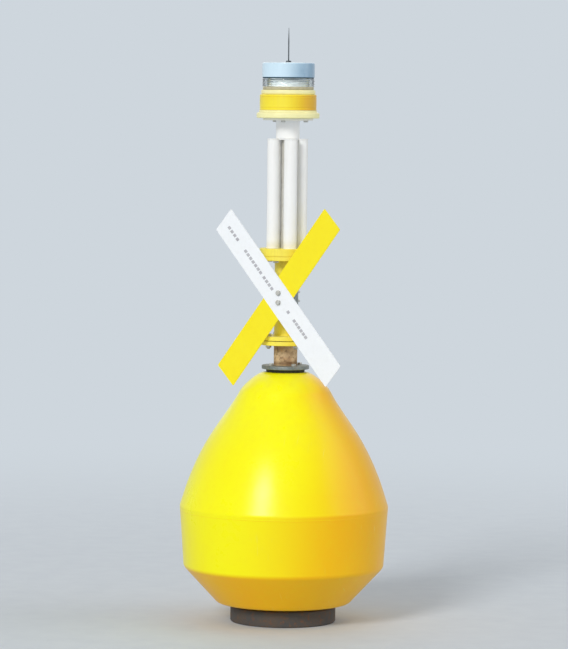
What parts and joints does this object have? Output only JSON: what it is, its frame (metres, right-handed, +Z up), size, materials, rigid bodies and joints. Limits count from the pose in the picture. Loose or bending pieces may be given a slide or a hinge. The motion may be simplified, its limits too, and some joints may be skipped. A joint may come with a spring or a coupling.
{
  "type": "marker buoy",
  "caption": "Conical yellow float on a ballasted pipe, with a flanged mast, crossed marker boards, tubular radar reflectors and a solar lantern.",
  "frame": {"origin": "middle of the ballast ring's flat underside, on which the buoy stands", "axes": "+Z up along the pipe and mast; the crossed boards face -Y; +X is to the right when facing the boards"},
  "size_m": [0.791, 0.791, 2.2512],
  "materials": {
    "float_yellow": "sun-bleached rotomoulded polyethylene, satin gloss",
    "mast_yellow": "yellow paint over metal, lightly weathered",
    "housing_yellow": "moulded yellow housing",
    "housing_cream": "moulded cream housing",
    "board_yellow": "yellow coated sheet",
    "board_white": "white coated sheet with a faint grey centre line of marks",
    "tube_white": "white moulded tube",
    "paint_white": "white paint over metal",
    "cap_pale": "pale translucent moulding",
    "lens_clear": "clear ribbed moulding",
    "led_white": "white reflector drum",
    "rubber_black": "black rubber",
    "seal_brown": "brown-grey rubber",
    "pipe_rust": "steel, rusted brown",
    "galvanised": "weathered galvanised steel",
    "bolt_zinc": "zinc plated steel",
    "ballast_iron": "tar-coated cast iron",
    "spike_steel": "dark stainless steel",
    "core_foil": "bright aluminium sheet",
    "battery_wrap": "shrink-wrapped cells",
    "circuit": "circuit laminate",
    "solar": "dark solar cells under glass"
  },
  "bodies": {
    "root": {"ballast_ring": "ballast_iron", "mooring_eye": "pipe_rust", "stand_pipe": "pipe_rust", "float_hull": "float_yellow", "float_pad": "rubber_black", "flange_gasket": "rubber_black", "cap_seal": "rubber_black", "lens_seal": "seal_brown", "float_top_plate": "galvanised", "mast_pole": "galvanised", "board_bracket": "galvanised", "stand_flange": "mast_yellow", "mast_sleeve": "mast_yellow", "reflector_base": "mast_yellow", "ballast_bolt_1": "bolt_zinc", "ballast_bolt_2": "bolt_zinc", "ballast_bolt_3": "bolt_zinc", "ballast_bolt_4": "bolt_zinc", "float_bolt_1": "bolt_zinc", "float_bolt_2": "bolt_zinc", "float_bolt_3": "bolt_zinc", "float_bolt_4": "bolt_zinc", "flange_bolt_1": "bolt_zinc", "flange_bolt_2": "bolt_zinc", "flange_bolt_3": "bolt_zinc", "flange_bolt_4": "bolt_zinc", "collar_bolt_1": "bolt_zinc", "collar_bolt_2": "bolt_zinc", "collar_bolt_3": "bolt_zinc", "collar_bolt_4": "bolt_zinc", "lantern_bolt_1": "bolt_zinc", "lantern_bolt_2": "bolt_zinc", "lantern_bolt_3": "bolt_zinc", "board_bolt_1": "bolt_zinc", "board_bolt_2": "bolt_zinc", "mast_u_bolt_1": "bolt_zinc", "mast_u_bolt_2": "bolt_zinc", "reflector_tube_1": "tube_white", "reflector_tube_2": "tube_white", "reflector_tube_3": "tube_white", "reflector_tube_4": "tube_white", "tube_core_1": "core_foil", "tube_core_2": "core_foil", "tube_core_3": "core_foil", "tube_core_4": "core_foil", "tube_top_spider": "paint_white", "lantern_adaptor": "paint_white", "lantern_base": "housing_cream", "lens_deck": "housing_cream", "lantern_body": "housing_yellow", "battery_pack": "battery_wrap", "control_board": "circuit", "lens": "lens_clear", "led_drum": "led_white", "lantern_cap": "cap_pale", "solar_panel": "solar", "bird_spike": "spike_steel", "white_board": "board_white", "yellow_board": "board_yellow"}
  },
  "joints": []
}
